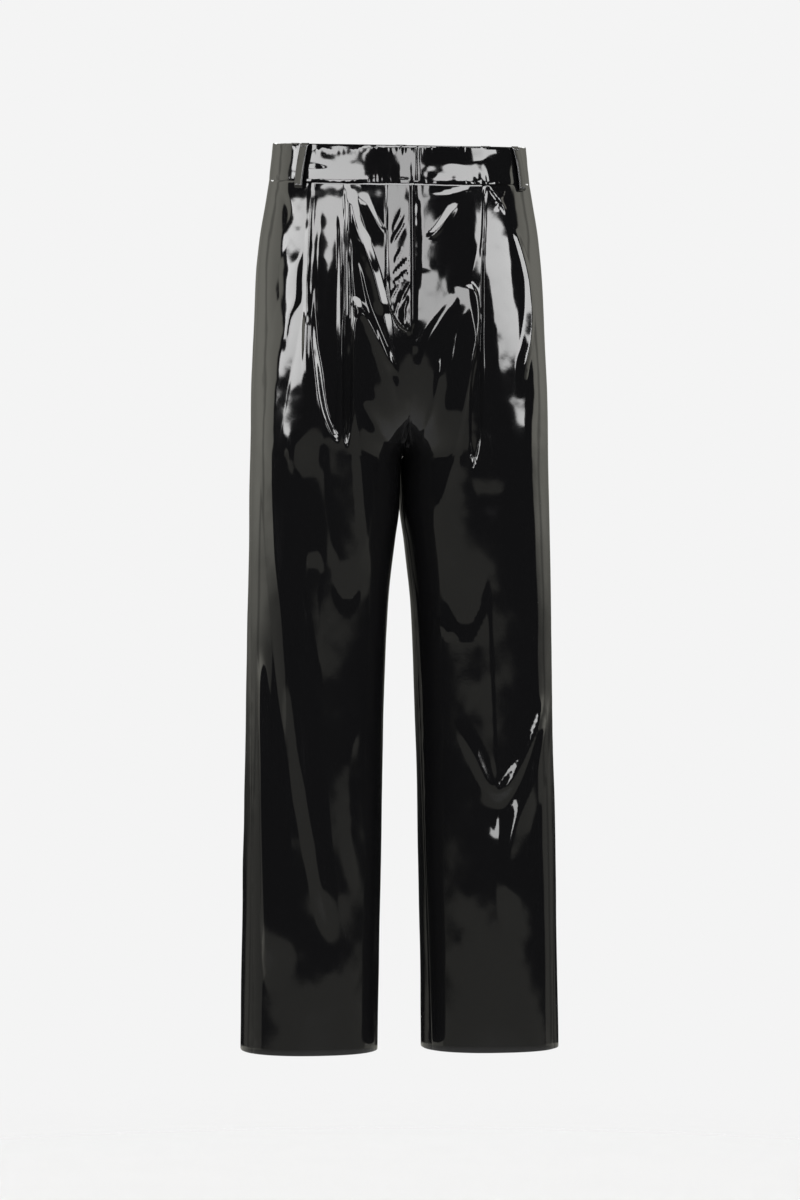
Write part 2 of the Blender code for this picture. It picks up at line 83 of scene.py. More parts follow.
# Pleats and folds. line is where a fold runs, as (distance from the middle, drop). height is how far it
# stands out, or in where it is negative, inward and outward how far its flanks reach towards the middle
# and the side, crest how round its top is, sag how hollow its flanks are, and rise and fade the lengths
# over which it starts and ends. Several numbers are its sizes from start to end. A hollow lies between
# two lines.
frontFolds = {
    "front_right": (
        # outer pleat, thin below the band, and its flank that widens down the thigh
        dict(line=((111, 40), (114, 81), (117, 134), (119, 167), (119, 233), (119, 300)),
             height=(1.2, 1.5, 1.6), inward=(3, 3, 4), outward=(5, 5.5, 6), crest=0.5, sag=1.0, rise=12,
             fade=60),
        dict(line=((119, 190), (119, 233), (118, 266), (119, 294), (121, 320), (125, 352), (130, 400)),
             height=(0.4, 2.6, 4.6, 4.2, 1.0), inward=(8, 14, 18, 18), outward=(3, 12, 24, 26, 24),
             crest=(1.0, 4.0, 8.0), sag=1.1, rise=30, fade=60),
        # front-facing facet between the streak and the pleat
        dict(line=((116, 84), (120, 113), (131, 150), (132, 181), (140, 210), (144, 250)),
             height=(0.3, 1.4, 1.2), inward=(5, 11, 11, 5, 3), outward=24, crest=0.7, sag=1.0, rise=20,
             fade=26),
        # tuck of the cloth beside the loop
        dict(line=((152, 48), (142, 62), (139, 80), (145, 108)), height=-0.9, inward=9, outward=16,
             crest=2.0, sag=1.4, rise=14, fade=30),
        # hollow between the pleats, closing in a lip
        dict(between=(((108, 70), (114, 134), (115, 167), (116, 200), (115, 233), (111, 266), (107, 298),
                       (102, 320), (96, 335), (86, 352)),
                      ((81, 70), (81, 124), (82, 200), (82, 255), (82, 318), (82, 352))),
             depth=(0.8, 1.8, 3.6, 5.2, 5.5), wall=((9, 7, 6.5), (6, 6.5, 8.5)), rise=30, fade=13),
        # narrow groove of the inner pleat
        dict(between=(((77, 46), (78, 112), (79, 185), (81, 244), (81, 308), (80, 335), (76, 357)),
                      ((72, 46), (71, 112), (69, 185), (68, 244), (68, 308), (70, 335), (74, 357))),
             depth=(1.0, 2.2, 4.5), wall=((2.2, 2.6, 3.4), (2.2, 2.6, 3.4)), rise=24, fade=11),
        dict(line=((74, 40), (74, 112), (73, 185), (72, 262)), height=(1.6, 2.4, 3.2), inward=(4, 5, 9),
             outward=(4, 5, 8), crest=(0.8, 1.4), sag=1.5, rise=14, fade=60),
        # swags from the pleat to the bottom of the fly
        dict(line=((71, 52), (65, 88), (56, 118), (47, 149), (41, 174), (33, 210), (27, 246), (20, 278)),
             height=(1.8, 3.6, 3.6, 2.4), inward=(7, 8, 8, 5), outward=(9, 12, 11, 7), crest=0.8, sag=1.1,
             rise=16, fade=16),
        dict(line=((61, 96), (56, 118), (47, 149), (41, 174), (34, 206)), height=(1.2, 2.8, 1.6, 0.8),
             inward=(30, 22, 14, 6), outward=8, crest=0.8, sag=1.0, rise=20, fade=20),
        dict(line=((57, 56), (49, 75), (41, 92), (32, 106)), height=1.3, inward=5, outward=7, crest=0.7,
             sag=1.1, rise=12, fade=10),
        dict(line=((69, 120), (61, 150), (54, 186), (43, 217), (32, 246), (22, 272)), height=1.4, inward=4,
             outward=9, crest=0.9, sag=1.3, rise=24, fade=16),
        dict(line=((30.6, 44), (30.6, 160), (26, 205)), height=(0.8, 1.6, 1.8), inward=1.5, outward=24,
             crest=0.4, sag=1.0, rise=45, fade=16),
        # fold that hangs from the pleat past the crotch
        dict(line=((68, 180), (64, 196), (67, 230), (66, 303), (62, 360), (57, 416), (54, 455), (58, 500)),
             height=(3.0, 4.2, 4.0, 3.0), inward=(10, 24, 26), outward=(6, 6, 7), crest=(1.0, 1.6), sag=1.5,
             rise=14, fade=40),
        dict(line=((63, 190), (49, 217), (36, 246), (24, 276), (16, 310)), height=2.0, inward=8, outward=12,
             crest=1.2, rise=16, fade=30),
        dict(line=((57, 300), (40, 330), (16, 362)), height=-2.0, inward=14, outward=14, rise=30, fade=20),
        # thigh
        dict(line=((141, 335), (133, 392), (124, 470)), height=1.6, inward=8, outward=12, crest=1.5,
             rise=40, fade=40),
        dict(line=((104, 352), (98, 415), (92, 455), (88, 494)), height=1.4, inward=8, outward=9, crest=1.2,
             rise=30, fade=24),
        dict(between=(((92, 488), (92, 515), (78, 545)), ((60, 488), (54, 515), (66, 545))), depth=(0.2, 1.3),
             wall=(6, 6), rise=20, fade=14),
        # narrow loop beside the knee
        dict(between=(((121, 474), (123, 530), (117, 560), (104, 641)),
                      ((105, 474), (99, 502), (102, 530), (99, 641))), depth=(0.9, 1.3, 1.0), wall=(4.5, 5),
             rise=20, fade=40),
        # long slanted fold down to the shin, and the face outside it
        dict(line=((158, 340), (156, 380), (151, 475), (142, 557), (134, 645), (117, 770), (100, 873),
                   (88, 930)), height=(0.6, 3.0, 6.0, 4.6, 1.4), inward=(18, 28, 24, 14),
             outward=(22, 19, 14, 9), crest=(2.0, 1.2), sag=1.1, rise=60, fade=70),
        dict(line=((168, 585), (167, 650), (165, 720), (164, 800), (162, 900), (158, 980)),
             height=(0.8, 4.2, 6.0, 5.2, 1.0), inward=(6, 18, 30, 36, 36), outward=8, crest=2.0, sag=1.1,
             rise=40, fade=60),
        dict(line=((66, 600), (58, 660), (70, 718), (68, 780), (60, 868)), height=1.1, inward=14,
             outward=16, crest=2.5, rise=50, fade=60),
    ),
    "front_left": (
        # inner pleat, a thin groove that flares where the thigh's fold starts
        dict(line=((88, 43), (86, 58), (84, 98), (81, 140), (80, 185), (79, 252), (80, 300)),
             height=(-1.2, -1.5, -2.4, -2.2, -2.0), inward=(4, 4.5, 15, 6, 5), outward=(1.8, 2.2, 2.6, 3),
             crest=0.5, sag=1.2, rise=12, fade=50),
        dict(between=(((79, 235), (82, 279), (83, 314), (81, 343), (75, 378)),
                      ((70, 235), (68, 260), (66, 300), (66, 345), (70, 378))),
             depth=(2.0, 4.0), wall=(4.0, 3.0), rise=40, fade=11),
        # outer pleat
        dict(line=((121, 92), (129, 115), (136, 140), (140, 163), (141, 195), (138, 231), (131, 262),
                   (127, 300)), height=(0.9, 2.4, 4.2, 3.0), inward=(5, 7, 11, 9), outward=(7, 8, 9),
             crest=0.8, sag=1.1, rise=16, fade=44),
        # crossing tucks below the band
        dict(line=((92, 46), (104, 62), (114, 80)), height=1.4, inward=3, outward=4, crest=0.6, sag=1.2,
             rise=6, fade=14),
        dict(line=((112, 46), (104, 62), (98, 74)), height=1.2, inward=3.5, outward=3.5, crest=0.6, sag=1.2,
             rise=8, fade=10),
        # arch of the thigh, from the bottom of the fly up to the pleat and down to the crotch
        dict(line=((67, 170), (48, 186), (34, 204), (20, 228), (12, 250), (8, 300)), height=(0.4, 1.2, 1.2),
             inward=7, outward=22, crest=1.0, sag=1.3, rise=14, fade=60),
        dict(line=((66, 162), (74, 182), (76, 204), (72, 240), (66, 275), (60, 309), (54, 345), (46, 389),
                   (34, 430), (16, 470)), height=(2.4, 4.4, 2.6, 0.8), inward=(20, 26, 20),
             outward=(4, 5, 9), crest=1.0, sag=1.5, rise=12, fade=90),
        dict(line=((54, 190), (46, 260), (30, 350)), height=-1.6, inward=14, outward=14, crest=4, rise=40,
             fade=60),
        dict(line=((34, 250), (27, 300), (14, 352)), height=1.6, inward=6, outward=7, crest=1.2, rise=30,
             fade=30),
        # lean away from the fly's edge, and dents beside it
        dict(line=((0, 50), (0, 154)), height=(1.0, 1.1), inward=5, outward=46, crest=0.5, sag=2.0, rise=30,
             fade=12),
        dict(line=((52, 66), (42, 82), (32, 96), (17, 112)), height=1.5, inward=7, outward=4, crest=0.7,
             sag=1.0, rise=10, fade=10),
        dict(line=((66, 47), (50, 54), (22, 62)), height=0.8, inward=4, outward=5, crest=0.8, sag=1.0,
             rise=4, fade=6),
        dict(line=((58, 350), (48, 390), (44, 430), (46, 505)), height=1.4, inward=12, outward=20,
             crest=2.0, rise=30, fade=40),
        # top of the thigh, where it turns to the floor
        dict(between=(((124, 378), (116, 400), (104, 440)), ((62, 378), (66, 400), (76, 440))),
             depth=(-0.4, 1.0), wall=(10, 8), rise=22, fade=30),
        dict(between=(((92, 500), (90, 530), (72, 575)), ((46, 500), (40, 530), (58, 575))), depth=(0.2, 1.3),
             wall=(6, 6), rise=22, fade=14),
        # front crease
        dict(line=((88, 505), (92, 578), (96, 655), (100, 745)), height=1.4, inward=12, outward=3,
             crest=0.8, sag=1.4, rise=40, fade=30),
        # folds that meet at the knee
        dict(line=((56, 668), (74, 706), (98, 756)), height=1.6, inward=8, outward=12, crest=1.2, sag=1.4,
             rise=40, fade=14),
        dict(line=((164, 636), (146, 684), (128, 722), (106, 757)), height=(1.4, 2.4, 2.8), inward=9,
             outward=12, crest=1.2, sag=1.4, rise=40, fade=12),
        dict(line=((174, 632), (160, 680), (143, 740), (120, 800), (113, 850), (116, 920)),
             height=(1.6, 2.8, 2.0), inward=(9, 14, 9), outward=(20, 24, 14), crest=1.4, sag=1.3, rise=60,
             fade=60),
        dict(line=((102, 752), (103, 775), (98, 810)), height=-2.2, inward=22, outward=20, crest=4, rise=14,
             fade=34),
        dict(line=((20, 540), (40, 562), (60, 574)), height=1.6, inward=4, outward=6, crest=0.8, sag=1.4,
             rise=8, fade=8),
    ),
}

backFolds = {
    "back_right": (
        dict(line=((34, 322), (84, 378), (142, 412)), height=4.0, inward=20, outward=28, crest=2.5, rise=30,
             fade=26),
        dict(line=((52, 300), (96, 350), (150, 372)), height=-2.0, inward=16, outward=18, crest=4, rise=26,
             fade=20),
        dict(line=((40, 392), (70, 520), (84, 690)), height=4.4, inward=26, outward=26, crest=2.5, rise=60,
             fade=110),
        dict(line=((136, 590), (100, 690), (58, 745)), height=5.0, inward=14, outward=22, crest=1.5,
             rise=50, fade=30),
        dict(line=((104, 780), (114, 890), (98, 1000)), height=4.0, inward=24, outward=32, crest=2.5,
             rise=70, fade=90),
        dict(line=((128, 440), (118, 520), (126, 610)), height=3.0, inward=16, outward=22, crest=1.5,
             rise=60, fade=60),
    ),
    "back_left": (
        dict(line=((38, 334), (92, 392), (138, 430)), height=3.8, inward=20, outward=28, crest=2.5, rise=30,
             fade=30),
        dict(line=((58, 380), (86, 540), (92, 720)), height=4.4, inward=26, outward=26, crest=2.5, rise=70,
             fade=120),
        dict(line=((146, 640), (112, 715), (66, 765)), height=5.0, inward=14, outward=22, crest=1.5,
             rise=50, fade=30),
        dict(line=((88, 800), (98, 905), (112, 1010)), height=4.0, inward=24, outward=32, crest=2.5,
             rise=70, fade=90),
        dict(line=((132, 460), (124, 540), (134, 630)), height=3.0, inward=16, outward=22, crest=1.5,
             rise=60, fade=60),
    ),
}
folds = {**frontFolds, **backFolds}

camera = {   # degrees round to the wearer's right, then metres, and the sensor in mm
    "yaw": 8.0, "distance": 4.5, "height": -0.5305, "frameHeight": 1.3992, "aside": 0.0006, "sensor": 36.0,
}


def smoothStep(value):
    value = np.clip(value, 0.0, 1.0)
    return value * value * (3 - 2 * value)


def eased(at, values, where):   # a smooth curve through the values that doesn't overshoot them
    at = np.asarray(at, float)
    values = np.asarray(values, float)
    where = np.asarray(where, float)
    steps = np.diff(at)
    slopes = np.diff(values) / steps
    tangents = np.zeros(len(at))
    for k in range(1, len(at) - 1):
        if slopes[k - 1] * slopes[k] > 0:
            tangents[k] = 2 / (1 / slopes[k - 1] + 1 / slopes[k])
    tangents[0] = slopes[0]
    tangents[-1] = slopes[-1]
    k = np.clip(np.searchsorted(at, where) - 1, 0, len(steps) - 1)
    t = np.clip((where - at[k]) / steps[k], 0.0, 1.0)
    start = (1 + 2 * t) * (1 - t) ** 2 * values[k] + t * (1 - t) ** 2 * steps[k] * tangents[k]
    end = t * t * (3 - 2 * t) * values[k + 1] + t * t * (t - 1) * steps[k] * tangents[k + 1]
    return start + end


sectionDrops = [row[0] for row in figure["rows"]]
sectionSizes = {name: [row[k] for row in figure["rows"]] for k, name in enumerate(figure["columns"])}


def sideOf(name):   # -1 for the wearer's right, 1 for the left
    return -1.0 if name.endswith("right") else 1.0


def sizeAt(name, drop):
    return float(eased(sectionDrops, sectionSizes[name], drop))


def halfOutline(drop):   # half of a section, from the centre front or inseam round to the back
    power = 2 / figure["squareness"]
    crown = sizeAt("crown", drop)
    if drop < figure["crotch"]:
        crown = max(crown, figure["leastCrown"])
        height = ((figure["crotch"] - drop) / figure["curveHeight"]) ** figure["curvePower"]
        frontReach = crown * (1 + figure["frontCurve"] * height)
        backReach = crown * (1 + figure["backCurve"] * height)
        first = math.acos((crown / frontReach) ** (1 / power))
        last = 2 * math.pi - math.acos((crown / backReach) ** (1 / power))
    else:
        frontReach = backReach = crown - sizeAt("halfGap", drop)
        turn = (drop - figure["crotch"]) / (figure["outseam"] - figure["crotch"])
        first = math.radians(figure["inseamTurn"]) * turn
        last = 2 * math.pi + first
    angles = np.linspace(first, last, 2 * fineness["dense"])
    cosines = np.cos(angles)
    sines = np.sin(angles)
    ahead = sines >= 0
    reach = np.where(cosines > 0, np.where(ahead, frontReach, backReach), sizeAt("halfWidth", drop) - crown)
    depth = np.where(ahead, sizeAt("front", drop), sizeAt("back", drop))
    x = crown - np.sign(cosines) * reach * np.abs(cosines) ** power + 0.15
    y = -np.sign(sines) * depth * np.abs(sines) ** power
    girth = np.concatenate(([0.0], np.cumsum(np.hypot(np.diff(x), np.diff(y)))))
    return x, y, angles, girth


def outOf(x, y):   # directions square to a section, pointing out of it
    alongX = np.gradient(x)
    alongY = np.gradient(y)
    length = np.hypot(alongX, alongY)
    return alongY / length, -alongX / length


def tiltAt(drop):
    share = (drop - figure["bandHeight"]) / (figure["tiltEnds"] - figure["bandHeight"])
    return figure["waistTilt"] * (1 - float(smoothStep(share)))


def latticeNoise(u, v, seed):   # smooth uneven values between -1 and 1
    table = np.random.default_rng(seed).uniform(-1, 1, (64, 64))
    iu = np.floor(u).astype(int)
    iv = np.floor(v).astype(int)
    fu = u - iu
    fv = v - iv
    fu = fu * fu * (3 - 2 * fu)
    fv = fv * fv * (3 - 2 * fv)
    corner = [table[(iu + a) % 64, (iv + b) % 64] for a, b in ((0, 0), (1, 0), (0, 1), (1, 1))]
    low = corner[0] * (1 - fu) + corner[1] * fu
    high = corner[2] * (1 - fu) + corner[3] * fu
    return low * (1 - fv) + high * fv


def gentleNoise(u, v, cell, seed):   # three turned layers, so that no rows or squares show
    u = np.asarray(u, float) / cell + 31.3
    v = np.asarray(v, float) / cell + 19.1
    total = 0.0
    for k, turn in enumerate((0.55, 1.65, 2.6)):
        c, d = math.cos(turn), math.sin(turn)
        total = total + latticeNoise(c * u - d * v, d * u + c * v, seed * 7 + k)
    return total * 0.62


def along(value, share):   # a size that changes from a fold's start to its end
    return value if np.isscalar(value) else float(eased(np.linspace(0, 1, len(value)), value, share))


def ridge(fold, share, across):
    reach = np.where(across > 0, along(fold["outward"], share), along(fold["inward"], share))
    crest = along(fold.get("crest", 4.0), share)
    rounded = np.sqrt(across ** 2 + crest ** 2) - crest
    return np.clip(1 - rounded / reach, 0.0, 1.0) ** fold.get("sag", 2.0)


def hollow(fold, share, girth, edges):
    wallOut, wallIn = (along(wall, share) for wall in fold["wall"])
    return smoothStep((edges[0] - girth) / wallOut) * smoothStep((girth - edges[1]) / wallIn)


def facingHalf(panel, x, angles, girth):   # the front's or back's points, from the middle to the side
    facing = angles <= math.pi if panel.startswith("front") else angles >= math.pi
    order = np.argsort(x[facing])
    return x[facing][order], girth[facing][order]


def foldHeights(panel, drop, x, angles, girth, seamDistance):
    total = np.zeros(len(girth))
    sortedX, sortedGirth = facingHalf(panel, x, angles, girth)
    outwards = 1 if panel.startswith("front") else -1
    for fold in folds[panel]:
        lines = fold["between"] if "between" in fold else (fold["line"],)
        start, end = lines[0][0][1], lines[0][-1][1]
        if not start <= drop <= end:
            continue
        share = (drop - start) / (end - start)
        places = []
        for line in lines:
            lineX, drops = zip(*line)
            places.append(np.interp(eased(drops, lineX, drop), sortedX, sortedGirth))
            lean = (eased(drops, lineX, drop + 1) - eased(drops, lineX, drop - 1)) / 2
        strength = float(smoothStep((drop - start) / fold["rise"]) * smoothStep((end - drop) / fold["fade"]))
        if "between" in fold:
            total -= along(fold["depth"], share) * strength * hollow(fold, share, girth, places)
        else:
            across = outwards * (girth - places[0]) / math.hypot(1.0, lean)
            total += along(fold["height"], share) * strength * ridge(fold, share, across)
    return total * smoothStep(seamDistance / cloth["seamEase"])


swells = (   # uneven swells of the cloth: size, height at the hips and legs, how far drawn out downwards
    dict(cell=62.0, height=1.5, legs=1.1, drawn=1.9, seed=11),
    dict(cell=26.0, height=0.55, legs=0.26, drawn=1.8, seed=12),
    dict(cell=9.0, height=0.075, legs=0.04, drawn=1.3, seed=13),
)
swellEase = {"legStarts": 330.0, "legGrows": 120.0, "band": 60.0, "seam": 60.0}   # where swells change
gathers = {   # under the band: long fine ones, and short uneven tucks
    "height": 0.16, "across": 6.5, "down": 26.0, "ends": 70.0, "fade": 36.0, "seed": 77,
    "tuck": 0.5, "tuckReach": 5.0, "tuckSize": 13.0, "seamTuck": 0.15, "seamReach": 50.0,
}


def swellHeights(girth, drop, seamDistance, seed, calm):
    total = np.zeros(len(girth))
    leg = float(smoothStep((drop - swellEase["legStarts"]) / swellEase["legGrows"]))
    for swell in swells:
        height = swell["height"] + (swell["legs"] - swell["height"]) * leg
        total += height * gentleNoise(girth, drop / swell["drawn"], swell["cell"], swell["seed"] + seed)
    total *= calm + (1 - calm) * smoothStep(seamDistance / swellEase["seam"])
    below = drop - figure["bandHeight"]
    drawn = gentleNoise(girth * gathers["down"] / gathers["across"], drop, gathers["down"], gathers["seed"])
    drawn = drawn * gathers["height"] * smoothStep((gathers["ends"] - drop) / gathers["fade"])
    uneven = 0.6 + 0.7 * gentleNoise(girth, drop, gathers["tuckSize"], gathers["seed"] + 1 + seed)
    tuck = -gathers["tuck"] * np.exp(-below / gathers["tuckReach"]) * np.clip(uneven, 0.0, 1.4)
    least = gathers["seamTuck"]
    tuck = tuck * (least + (1 - least) * smoothStep(seamDistance / gathers["seamReach"]))
    total = total * smoothStep(below / swellEase["band"]) + drawn + tuck
    return total * smoothStep(seamDistance / cloth["seamEase"])


def seamHeights(seamDistance, drop, seed):   # the cloth rolls into its seams, with small puckers beside them
    roll = -cloth["seamDip"] * np.exp(-(seamDistance / cloth["seamRound"]) ** 1.5)
    roll = roll * float(smoothStep((drop - figure["bandHeight"] - 2.0) / 12.0))
    pucker = gentleNoise(seamDistance * 0.25, drop, cloth["puckerSize"], 31 + seed)
    return roll + cloth["pucker"] * pucker * np.exp(-((seamDistance - 4.0) / 5.0) ** 2)


fly = {   # the right front laps over the left one down to the end of the curved stitching
    "width": 30.5, "drop": 226.0, "curveStarts": 168.0, "over": 8.0, "lapEnds": 14.0,
    "lift": 0.7, "lap": 2.6, "lapLift": 0.9, "groove": 0.35,
    "slashes": (   # ends of each, as (distance from the edge, drop), and its depth and reach
        ((11, 74), (24, 101), 0.5, 2.2), ((7, 84), (26, 117), 0.8, 3.0), ((11, 121), (22, 139), 0.55, 2.2),
        ((1, 132), (25, 156), 0.7, 2.4), ((1, 145), (24, 168), 0.6, 2.2), ((15, 165), (28, 188), 0.6, 2.2),
        ((2, 162), (18, 194), 0.6, 2.4), ((4, 178), (13, 207), 0.6, 2.2), ((16, 186), (22, 206), 0.5, 2.0),
        ((8, 196), (11, 216), 0.5, 2.0),
    ),
    "wrinkle": 0.2, "wrinkleSize": 7.0, "wrinkleStarts": 120.0, "wrinkleGrows": 60.0,
}


def flyWidth(drop):   # distance of the curved stitching from the fly's edge
    if drop < fly["curveStarts"]:
        return fly["width"]
    share = min((drop - fly["curveStarts"]) / (fly["drop"] - fly["curveStarts"]), 1.0)
    return fly["width"] * math.sqrt(max(0.0, 1 - share ** 2))


def flyHeights(panel, drop, girth):   # the doubled cloth inside the stitching, drawn into slanting ripples
    if drop > fly["drop"] + fly["over"] or not panel.startswith("front"):
        return 0.0
    ends = float(smoothStep((fly["drop"] + fly["over"] - drop) / 10.0))
    if panel == "front_left":
        return -fly["lift"] * ends * np.clip((5.6 - girth) / 3.0, 0.0, 1.0)
    edge = flyWidth(drop)
    inside = smoothStep((edge + 1.0 - girth) / 3.0)
    groove = -fly["groove"] * np.exp(-((girth - edge) / 0.9) ** 2)
    total = np.zeros(len(girth))
    for (startX, startDrop), (endX, endDrop), depth, reach in fly["slashes"]:
        long = math.hypot(endX - startX, endDrop - startDrop)
        alongX, alongDrop = (endX - startX) / long, (endDrop - startDrop) / long
        down = (girth - startX) * alongX + (drop - startDrop) * alongDrop
        across = (girth - startX) * alongDrop - (drop - startDrop) * alongX
        taper = smoothStep(down / (0.3 * long)) * smoothStep((long - down) / (0.3 * long))
        total -= depth * taper * np.clip(1 - np.abs(across) / reach, 0, 1) ** 1.4
    low = float(smoothStep((drop - fly["wrinkleStarts"]) / fly["wrinkleGrows"]))
    crumple = fly["wrinkle"] * low * gentleNoise(girth + 0.5 * drop, drop * 0.6, fly["wrinkleSize"], 41)
    ripple = (total + crumple) * smoothStep((girth - 0.5) / 3.0)
    flat = fly["lift"] * (0.15 + 0.85 * np.clip(girth / max(edge, 8.0), 0, 1) ** 2)
    return ends * (flat * inside + groove + ripple * inside)


def panelShape(panel, drop):   # a panel's section, with the directions out of it, its start, crease and end
    x, y, angles, girth = halfOutline(drop)
    turnStarts = figure["seamTurnStarts"]
    turn = float(smoothStep((drop - turnStarts) / (figure["outseam"] - turnStarts)))
    outseam = float(np.interp(math.pi - math.radians(figure["outseamTurn"]) * turn, angles, girth))
    front = panel.startswith("front")
    start, end = (0.0, outseam) if front else (outseam, girth[-1])
    crease = float(np.interp(sizeAt("crease", drop), *facingHalf(panel, x, angles, girth)))
    seamDistance = np.maximum(np.minimum(girth - start, end - girth), 0.0)
    seed = 3 * sorted(folds).index(panel)
    heights = foldHeights(panel, drop, x, angles, girth, seamDistance)
    heights = heights + swellHeights(girth - crease, drop, seamDistance, 100 * seed, 0.35 if front else 0.8)
    heights = heights + seamHeights(seamDistance, drop, seed)
    heights = heights + flyHeights(panel, drop, girth)
    outX, outY = outOf(x, y)
    x = x + heights * outX
    y = y + heights * outY
    return girth, (x, y, *outOf(x, y)), start, crease, end


def onPanel(panel, drop, girth, lift=0.0):   # a place on a panel, at a girth from its front or inner seam
    side = sideOf(panel)
    lengths, values, _, _, _ = panelShape(panel, drop)
    x, y, outX, outY = (float(np.interp(girth, lengths, value)) for value in values)
    x += lift * outX
    y += lift * outY
    return np.array((side * x, y, tiltAt(drop) * y - drop)), np.array((side * outX, outY, 0.0))


def panelRow(panel, drop, shares):   # points of one row and the directions out of it
    girth, values, start, crease, end = panelShape(panel, drop)
    places = np.concatenate((start + (crease - start) * shares[0], crease + (end - crease) * shares[1]))
    return np.stack([np.interp(places, girth, value) for value in values], axis=1), end - start


def rowDrops():   # the rows of a panel's grid, closer at the hips
    crotch = figure["crotch"]
    spans = ((figure["bandHeight"], crotch - 0.5, "hipRow"), (crotch, figure["outseam"], "legRow"))
    return np.concatenate([
        np.linspace(top, low, round((low - top) / fineness[height])) for top, low, height in spans])


def sheetMesh(name, grid):   # a sheet of cloth through a grid of points
    rows, columns, _ = grid.shape
    index = np.arange(rows * columns).reshape(rows, columns)
    faces = np.stack([index[:-1, :-1], index[1:, :-1], index[1:, 1:], index[:-1, 1:]], axis=-1).reshape(-1, 4)
    mesh = bpy.data.meshes.new(name)
    mesh.from_pydata((grid.reshape(-1, 3) * mm).tolist(), [], faces.tolist())
    mesh.update()
    piece = bpy.data.objects.new(name, mesh)
    bpy.context.scene.collection.objects.link(piece)
    return piece


def finishSheet(piece, thickness, materials):   # its wall goes inwards from the modelled face
    bpy.ops.object.select_all(action="DESELECT")
    piece.select_set(True)
    bpy.context.view_layer.objects.active = piece
    for material in materials:
        piece.data.materials.append(material)
    wall = piece.modifiers.new("wall", "SOLIDIFY")
    wall.thickness = thickness * mm
    wall.offset = -1.0
    wall.use_rim = True
    wall.material_offset = len(materials) - 1
    bpy.ops.object.modifier_apply(modifier=wall.name)
    bpy.ops.object.shade_smooth_by_angle(angle=math.radians(cloth["smoothAngle"]))


def flip(grid, side):   # so that the faces of both sides point outwards
    return grid[:, ::-1] if side < 0 else grid


def dress(piece, node, flat=None, area=None):   # hangs it on the body, hides the solid it stands for, and prints the size of its cut
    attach(piece, "root")
    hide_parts(node)
    if flat:
        width, length = flat
        width * mm
        length * mm
        area * mm * mm
        print(piece.name, "cut", round(width), "x", round(length), "mm")


def makePanel(name, materials):
    side = sideOf(name)
    front = name.startswith("front")
    half = fineness["backColumns"] // 2
    counts = (fineness["innerColumns"], fineness["outerColumns"]) if front else (half, half)
    inner = np.linspace(0, 1, counts[0] + 1)[:-1]
    outer = np.linspace(0, 1, counts[1] + 1)
    points = []
    girths = []

    def addRow(drop, inset, lower=0.0):
        ring, girth = panelRow(name, drop, (inner, outer))
        tilt = tiltAt(drop)
        row = [np.array((side * (x - inset * outX), y - inset * outY, tilt * y - drop - lower))
               for x, y, outX, outY in ring]
        ends = []
        for k in (0, -1):   # seam allowances, turned straight in, and the centre seams closed
            into = np.array((-side * ring[k][2], -ring[k][3], 0.0))
            if abs(row[k][0]) < cloth["centreReach"] and drop < figure["crotch"]:
                row[k][0] = side * cloth["seamGap"]
                into = np.array((0.0, -math.copysign(1.0, ring[k][3]), 0.0))
            ends.append([row[k] + into * depth for depth in (0.8, 2.5, cloth["allowance"])])
        if name == "front_right" and drop < fly["drop"]:   # the fly's edge, folded under
            out = np.array((side * ring[0][2], ring[0][3], 0.0))
            closes = float(smoothStep((fly["drop"] - drop) / fly["lapEnds"]))
            over = fly["lap"] * closes * np.array((1.0, 0.0, 0.0))
            for k, share in enumerate((1.0, 0.7, 0.3)):
                row[k] = row[k] + out * fly["lapLift"] * closes * share
            ends[0] = [row[0] + over - out * 0.5, row[0] + over * 1.1 - out * 1.2, row[0] - out * 1.2]
        points.append(ends[0][::-1] + row + ends[1])
        girths.append(girth)

    addRow(figure["bandHeight"], 1.3, -3.0)
    addRow(figure["bandHeight"], 1.1, -1.0)
    for drop in rowDrops():
        addRow(drop, 0.0)
    radius = cloth["hemRadius"]
    for angle in (30, 60, 90, 120, 150, 180):
        turn = math.radians(angle)
        addRow(figure["outseam"], radius * (1 - math.cos(turn)), radius * math.sin(turn))
    for up in np.linspace(cloth["hemTuck"], cloth["hemTurn"], 6):
        addRow(figure["outseam"] - up, 2 * radius)
    grid = flip(np.array(points), side)
    piece = sheetMesh("vinyl_" + name, grid)
    finishSheet(piece, cloth["thickness"], materials)
    width = max(girths) + 2 * cloth["allowance"]
    length = figure["outseam"] - figure["bandHeight"] + cloth["hemTurn"] + 4.0
    area = (sum(girths) / len(girths) + 2 * cloth["allowance"]) * length
    dress(piece, name, (width, length), area)


band = {
    "roll": 1.15, "rightLap": 1.2, "leftLap": 34.0, "underGirth": 9.0, "underDepth": 2.8, "behindPanels": 2.2,
    "columnStep": 0.9, "rowStep": 1.7, "stretchStarts": 200.0,
    "swells": ((46.0, 0.45, 51), (15.0, 0.13, 52)),
    "curls": (   # side, girths over which it grows and fades, its lean, and how it curls out below a drop
        ("right", (34, 66, 120, 132), 0.104, 22, 0.002), ("right", (-8, 4, 12, 24), 0.0, 6, 0.0016),
        ("left", (2, 20, 84, 124), 0.0, 15, 0.0052), ("left", (82, 94, 122, 136), 0.055, 43, 0.0),
        ("right", (250, 280, 300, 340), 0.02, 4, 0.0016), ("left", (230, 260, 320, 350), 0.0, 8, 0.0018),
    ),
    "dents": (   # side, middle, reach, drop, height, depth
        ("right", 112.0, 13.0, 29.0, 3.4, 0.55), ("left", 54.0, 40.0, 15.0, 11.0, 1.1),
    ),
    "tick": 0.34, "tickLength": 2.6, "tickReach": 6.5, "edgeDip": 0.45, "sideGirth": 196.0,
}


